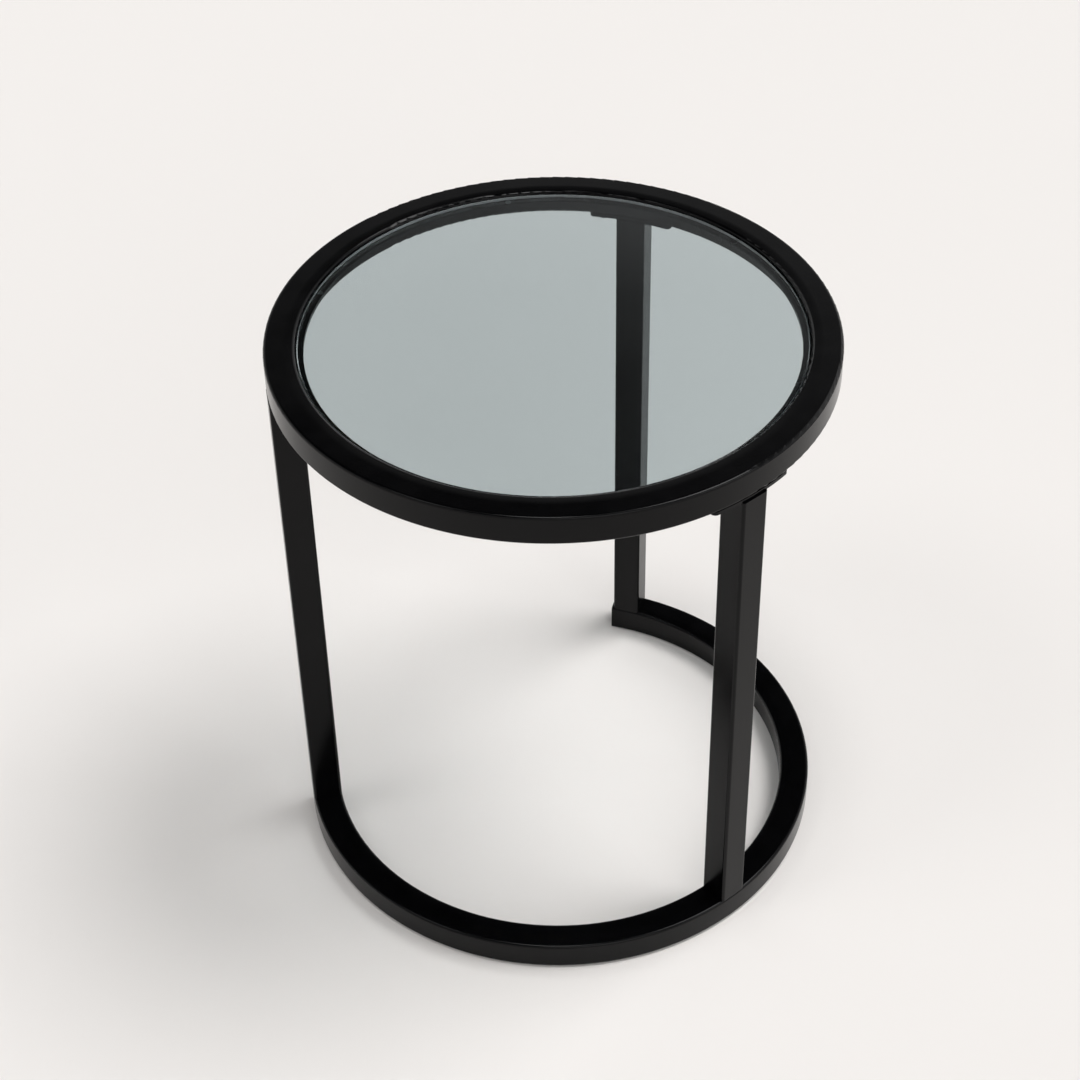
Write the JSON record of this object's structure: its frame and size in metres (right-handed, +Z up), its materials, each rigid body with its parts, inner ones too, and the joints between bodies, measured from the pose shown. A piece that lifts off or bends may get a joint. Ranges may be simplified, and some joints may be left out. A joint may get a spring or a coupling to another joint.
{
  "type": "side table",
  "caption": "Round side table with a smoked glass top inset in a black square-tube hoop, on tube legs that stand on a C-shaped floor hoop left open for nesting.",
  "frame": {"origin": "on the floor, under the centre of the round top", "axes": "+Z up along the table's axis, +Y towards the open side of the floor hoop, front leg at -Y"},
  "size_m": [0.45, 0.45, 0.497],
  "materials": {
    "powder_coat": "satin black powder coat on steel",
    "smoked_glass": "clear, lightly smoked, polished edges",
    "silicone": "clear soft silicone",
    "zinc_steel": "zinc plated",
    "black_steel": "blackened steel",
    "glide_rubber": "matt rubber"
  },
  "bodies": {
    "frame": {"top_hoop": "powder_coat", "glass_ledge": "powder_coat", "glass_bumpers": "silicone", "leg_right": "powder_coat", "leg_left": "powder_coat", "leg_front": "powder_coat", "plate_right": "powder_coat", "plate_left": "powder_coat", "plate_front": "powder_coat", "inserts_right": "zinc_steel", "inserts_left": "zinc_steel", "inserts_front": "zinc_steel", "screws_right": "black_steel", "screws_left": "black_steel", "screws_front": "black_steel", "flat_washers_right": "zinc_steel", "flat_washers_left": "zinc_steel", "flat_washers_front": "zinc_steel", "spring_washers_right": "zinc_steel", "spring_washers_left": "zinc_steel", "spring_washers_front": "zinc_steel", "floor_hoop": "powder_coat", "end_cap_right": "powder_coat", "end_cap_left": "powder_coat", "glide_1": "glide_rubber", "glide_2": "glide_rubber", "glide_3": "glide_rubber", "glide_4": "glide_rubber", "glide_5": "glide_rubber"},
    "glass": {"glass_top": "smoked_glass"}
  },
  "joints": [
    {"name": "glass_lift", "type": "slide", "parent": "frame", "child": "glass", "axis": [0, 0, 1], "range_m": [0, 0.15]}
  ]
}
